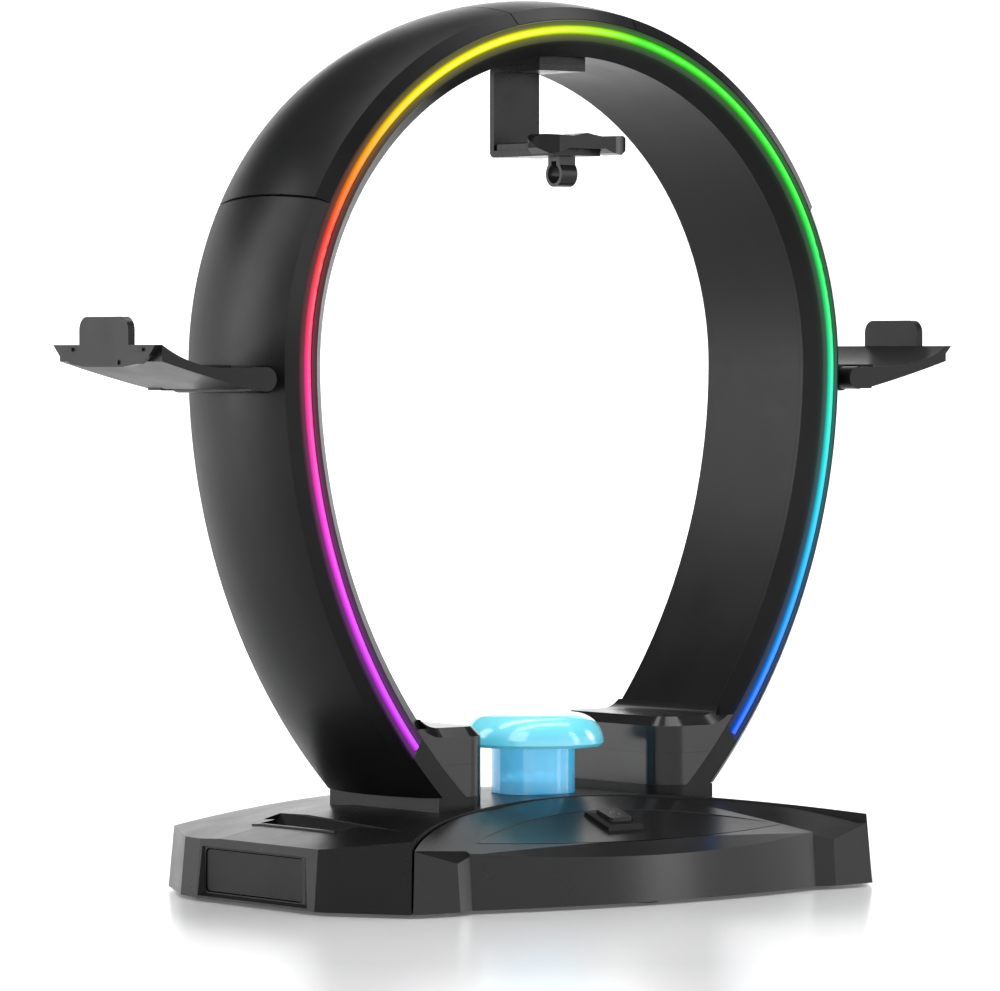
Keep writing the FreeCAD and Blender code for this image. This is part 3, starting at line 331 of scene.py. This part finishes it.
def trim_black():
    """Arch plastic with a painted glow: the light line's colour is painted on as emission beside the
    groove.
    """
    material, tree, shader = moulded("trim_black", (0.0055, 0.0055, 0.0058), 0.31)
    share = light_share(tree)
    colour = ramp(tree, share, LIGHT_STOPS)
    # painted glow: emission in the line's colour, strongest at the groove edge and gone past the reach
    near = map_range(tree, line_offset(tree), GROOVE_HALF, GROOVE_HALF + PAINTED_GLOW_REACH, 1.0, 0.0)
    past_start = maths(tree, "GREATER_THAN", share, 0.001)
    before_end = maths(tree, "LESS_THAN", share, 0.999)
    lit = maths(tree, "MULTIPLY", past_start, before_end)
    near = maths(tree, "MULTIPLY", maths(tree, "MULTIPLY", near, near), lit)
    tree.links.new(mix_colour(tree, near, BLACK, colour), shader.inputs["Emission Color"])
    shader.inputs["Emission Strength"].default_value = PAINTED_GLOW_STRENGTH
    return material


def winder_plastic_painted_glow(name, low_z, high_z, low_colour, high_colour, strength):
    """Translucent cyan plastic with a painted glow from the lamps inside: colour and emission blend from
    the low to the high colour with height.
    """
    material, tree, shader = new_material(name)
    rise = map_range(tree, place_parts(tree)["Z"], low_z, high_z, 0.0, 1.0)
    tone = mix_colour(tree, rise, low_colour, high_colour)
    cloud = spread(tree, noise(tree, 45.0, 3.0), 0.0, 0.25)
    colour = mix_colour(tree, cloud, tone, (0.75, 0.95, 1.0))
    tree.links.new(colour, shader.inputs["Base Color"])
    tree.links.new(colour, shader.inputs["Emission Color"])
    shader.inputs["Emission Strength"].default_value = strength
    shader.inputs["Roughness"].default_value = 0.16
    shader.inputs["Transmission Weight"].default_value = 0.3
    shader.inputs["IOR"].default_value = 1.45
    shader.inputs["Coat Weight"].default_value = 0.5
    shader.inputs["Coat Roughness"].default_value = 0.06
    return material


def lamp_board():
    """Lit lamps on their board."""
    material, tree, shader = new_material("lamp_board")
    spots = noise(tree, 400.0)
    colour = ramp(tree, spots, [(NOISE_LOW, (0.55, 0.85, 0.92)), (NOISE_HIGH, (0.85, 0.97, 1.0))])
    tree.links.new(colour, shader.inputs["Base Color"])
    tree.links.new(colour, shader.inputs["Emission Color"])
    shader.inputs["Emission Strength"].default_value = 2.0
    return material


def make_materials():
    """One material for every slot of the record."""
    gloss = {"grain": 0.03, "coat": 0.08, "specular": 0.24}
    line = light_line()
    # painted glow of the drum, lighter towards its top
    drum_glow_low = (0.02, 0.36, 0.62)
    drum_glow_high = (0.05, 0.58, 0.82)
    return {
        "base_black": plain("base_black", (0.0055, 0.0055, 0.0058), 0.30),
        "apron_black": plain("apron_black", (0.008, 0.008, 0.0085), 0.22, **gloss),
        "arch_black": plain("arch_black", (0.005, 0.005, 0.0053), 0.31),
        "foot_black": plain("foot_black", (0.008, 0.008, 0.0085), 0.22, **gloss),
        "panel_black": plain("panel_black", (0.010, 0.010, 0.0104), 0.48, grain=0.25),
        "key_black": plain("key_black", (0.012, 0.012, 0.013), 0.26, grain=0.04),
        "inner_black": plain("inner_black", (0.012, 0.012, 0.012), 0.5),
        "hanger_black": plain("hanger_black", (0.007, 0.007, 0.0073), 0.27),
        "hook_black": plain("hook_black", (0.016, 0.016, 0.017), 0.18, grain=0.03),
        "tray_black": plain("tray_black", (0.009, 0.009, 0.0095), 0.34),
        "foot_rubber": plain("foot_rubber", (0.018, 0.018, 0.018), 0.7, grain=0.4),
        "dark_steel": metal("dark_steel", (0.42, 0.42, 0.43), 0.35),
        "circuit_board": circuit("circuit_board"),
        "light_warm": line,
        "light_cool": line,
        "winder_cyan": winder_plastic_painted_glow("winder_drum", DRUM_BOTTOM, CAP_BOTTOM, drum_glow_low, drum_glow_high, 0.24),
    }


def dress_cad(materials):
    """Gives every CAD node the material of its slot, and a few nodes one of their own."""
    for row in frame["record"]["subparts"]:
        node = nodes[row["node"]]
        node.data.materials.clear()
        node.data.materials.append(materials[row["material_slot"]])
    lamps = lamp_board()
    for name in ("winder_light_board", "left_light_strip", "right_light_strip"):
        nodes[name].data.materials[0] = lamps
    trim = trim_black()
    for name in ("left_front_trim", "right_front_trim"):
        nodes[name].data.materials[0] = trim
    # painted glow of the cap, lighter towards its top
    cap_glow_low = (0.07, 0.60, 0.78)
    cap_glow_high = (0.20, 0.80, 0.90)
    cap = winder_plastic_painted_glow("winder_cap", CAP_BOTTOM, CAP_TOP, cap_glow_low, cap_glow_high, 0.14)
    nodes["winder_cap"].data.materials[0] = cap


def soften(name, width, segments=2, angle=30):
    """Small moulded radius on a CAD node's edges, by a modifier."""
    node = nodes[name]
    bevel = node.modifiers.new("edge_radius", "BEVEL")
    bevel.width = width
    bevel.segments = segments
    bevel.limit_method = "ANGLE"
    bevel.angle_limit = math.radians(angle)
    bevel.use_clamp_overlap = True
    bevel.harden_normals = False


# ------------------------------------------------------------------ detail pieces
def mesh_object(name, material, bm):
    """New object from an edit mesh, with one material."""
    mesh = bpy.data.meshes.new(name)
    bm.to_mesh(mesh)
    bm.free()
    piece = bpy.data.objects.new(name, mesh)
    bpy.context.scene.collection.objects.link(piece)
    piece.data.materials.append(material)
    return piece


def ribbon(name, material, points, half_width):
    """Flat strip along points; the width lies in the XY plane, across the run."""
    bm = bmesh.new()
    rows = []
    for i, point in enumerate(points):
        before = points[max(i - 1, 0)]
        after = points[min(i + 1, len(points) - 1)]
        run = (after - before).normalized()
        across = Vector((-run.y, run.x, 0.0)).normalized() * half_width
        rows.append((bm.verts.new(point - across), bm.verts.new(point + across)))
    for a, b in zip(rows, rows[1:]):
        bm.faces.new((a[0], b[0], b[1], a[1]))
    return mesh_object(name, material, bm)


def apron_height(x, y):
    """Height of the apron's main slope."""
    return CREASE_Z + MAIN_CLIMB * (y - CREASE_Y) - SIDE_FALL * x * x


def add_painted_crease_shade():
    """Painted shade: a dark strip laid along the crease of the apron."""
    # painted shade in the crease
    dark = plain("crease_dark", (0.004, 0.004, 0.004), 0.5)
    points = []
    count = 90
    inward = 0.15 * MM
    for i in range(count + 1):
        x = -CREASE_HALF_X + 2 * CREASE_HALF_X * i / count
        y = CREASE_CENTRE_Y - math.sqrt(CREASE_RADIUS ** 2 - x * x) - inward
        points.append(Vector((x, y, apron_height(x, y) + CREASE_SHADE_LIFT)))
    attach(ribbon("crease_line", dark, points, CREASE_SHADE_HALF_WIDTH), "stand")


def key_point(x, y):
    """Point just over the sloping face of the key."""
    return Vector((x, y, KEY_MID_Z + KEY_FALL * (y - KEY_CENTRE_Y) + ICON_LIFT))


def add_power_icon():
    """Ring with a bar, pressed into the key."""
    mark = plain("icon_grey", (0.11, 0.11, 0.115), 0.4)
    ring = []
    count = 32
    for i in range(count + 1):
        turn = math.radians(35 + 290 * i / count)
        x = ICON_RADIUS * math.sin(turn)
        ring.append(key_point(x, KEY_CENTRE_Y + ICON_RADIUS * math.cos(turn)))
    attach(ribbon("power_ring", mark, ring, ICON_HALF_WIDTH), "power_button")
    bar = [key_point(0, KEY_CENTRE_Y + step * MM) for step in (0.3, 1.9)]
    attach(ribbon("power_bar", mark, bar, ICON_HALF_WIDTH), "power_button")


def soften_all():
    """Edge radii in millimetres, and the nodes that have them."""
    widths = {
        0.35: ["base_top_cover", "front_apron", "saddle", "top_cap"],
        0.2: ["power_button", "button_bezel"],
        0.25: ["hanger_bracket", "cable_hook"],
    }
    for side in ("left_", "right_"):
        for name in ("foot_block", "leg_socket", "leg_cover", "wing_cover", "tray_arm", "tray_stop"):
            widths[0.35].append(side + name)
        for name in ("front_trim", "slot_insert", "end_panel"):
            widths[0.25].append(side + name)
    for width, names in widths.items():
        for name in names:
            soften(name, width * MM)


# ------------------------------------------------------------------ stage
def aim(thing, target):
    """Turns a camera or a lamp towards a point."""
    direction = Vector(target) - thing.location
    thing.rotation_euler = direction.to_track_quat("-Z", "Y").to_euler()


def add_camera():
    """Long lens, far away, from the front left."""
    turn = math.radians(CAMERA_AZIMUTH)
    data = bpy.data.cameras.new("camera")
    data.lens = CAMERA_LENS
    camera = bpy.data.objects.new("camera", data)
    bpy.context.scene.collection.objects.link(camera)
    across = -CAMERA_DISTANCE * math.sin(turn)
    back = CAMERA_CENTRE_Y - CAMERA_DISTANCE * math.cos(turn)
    camera.location = (across, back, CAMERA_HEIGHT)
    aim(camera, CAMERA_TARGET)
    bpy.context.scene.camera = camera


def area_light(name, place, size, size_y, power):
    """Soft rectangular lamp that faces the middle of the stand."""
    data = bpy.data.lights.new(name, "AREA")
    data.shape = "RECTANGLE"
    data.size = size
    data.size_y = size_y
    data.energy = power
    lamp = bpy.data.objects.new(name, data)
    bpy.context.scene.collection.objects.link(lamp)
    lamp.location = place
    aim(lamp, LIGHT_TARGET)


def add_lights():
    """Six soft lamps: above, and low round the stand."""
    area_light("key_left", (-1.3, -0.6, 1.0), 0.9, 1.2, 13.0)
    area_light("fill_right", (1.1, -1.4, 0.7), 0.35, 1.4, 6.0)
    area_light("top_soft", (0.0, 0.1, 1.3), 1.8, 0.9, 30.0)
    area_light("rear_left", (-1.0, 1.0, 0.6), 0.5, 1.2, 8.0)
    area_light("rear_right", (1.15, 1.25, 0.8), 1.0, 0.9, 3.0)
    area_light("side_right", (1.6, -0.45, 0.55), 0.3, 0.7, 5.0)


def white_stage(name, near, far):
    """White surface that glows a little more with distance from the object."""
    material, tree, shader = new_material(name)
    tone = noise(tree, 3.0)
    pale = ramp(tree, tone, [(0.0, (0.48, 0.48, 0.485)), (1.0, (0.52, 0.52, 0.525))])
    tree.links.new(pale, shader.inputs["Base Color"])
    place = add(tree, "ShaderNodeTexCoord")
    reach = add(tree, "ShaderNodeVectorMath", operation="LENGTH")
    tree.links.new(place.outputs["Object"], reach.inputs[0])
    glow = map_range(tree, reach.outputs["Value"], GLOW_START, GLOW_END, near, far)
    tree.links.new(glow, shader.inputs["Emission Strength"])
    shader.inputs["Emission Color"].default_value = (1.0, 1.0, 1.0, 1.0)
    shader.inputs["Roughness"].default_value = 0.22
    return material


def add_stage():
    """Plain pale floor with a low white wall far behind it."""
    bm = bmesh.new()
    bmesh.ops.create_circle(bm, cap_ends=True, segments=96, radius=WALL_RADIUS)
    floor = mesh_object("floor", white_stage("floor", NEAR_FLOOR_GLOW, 1.0), bm)
    bm = bmesh.new()
    ring = {"radius1": WALL_RADIUS, "radius2": WALL_RADIUS, "depth": WALL_HEIGHT}
    bmesh.ops.create_cone(bm, segments=96, **ring)
    bmesh.ops.translate(bm, verts=bm.verts, vec=(0, 0, WALL_HEIGHT / 2))
    wall = mesh_object("wall", white_stage("wall", 1.0, 1.0), bm)
    world = bpy.data.worlds.new("studio")
    bpy.context.scene.world = world
    world.use_nodes = True
    background = world.node_tree.nodes["Background"]
    background.inputs["Color"].default_value = (1.0, 1.0, 1.0, 1.0)
    background.inputs["Strength"].default_value = WORLD_STRENGTH
    bpy.context.scene.view_settings.view_transform = "Standard"


materials = make_materials()
dress_cad(materials)
soften_all()
add_painted_crease_shade()
add_power_icon()
add_camera()
add_lights()
add_stage()
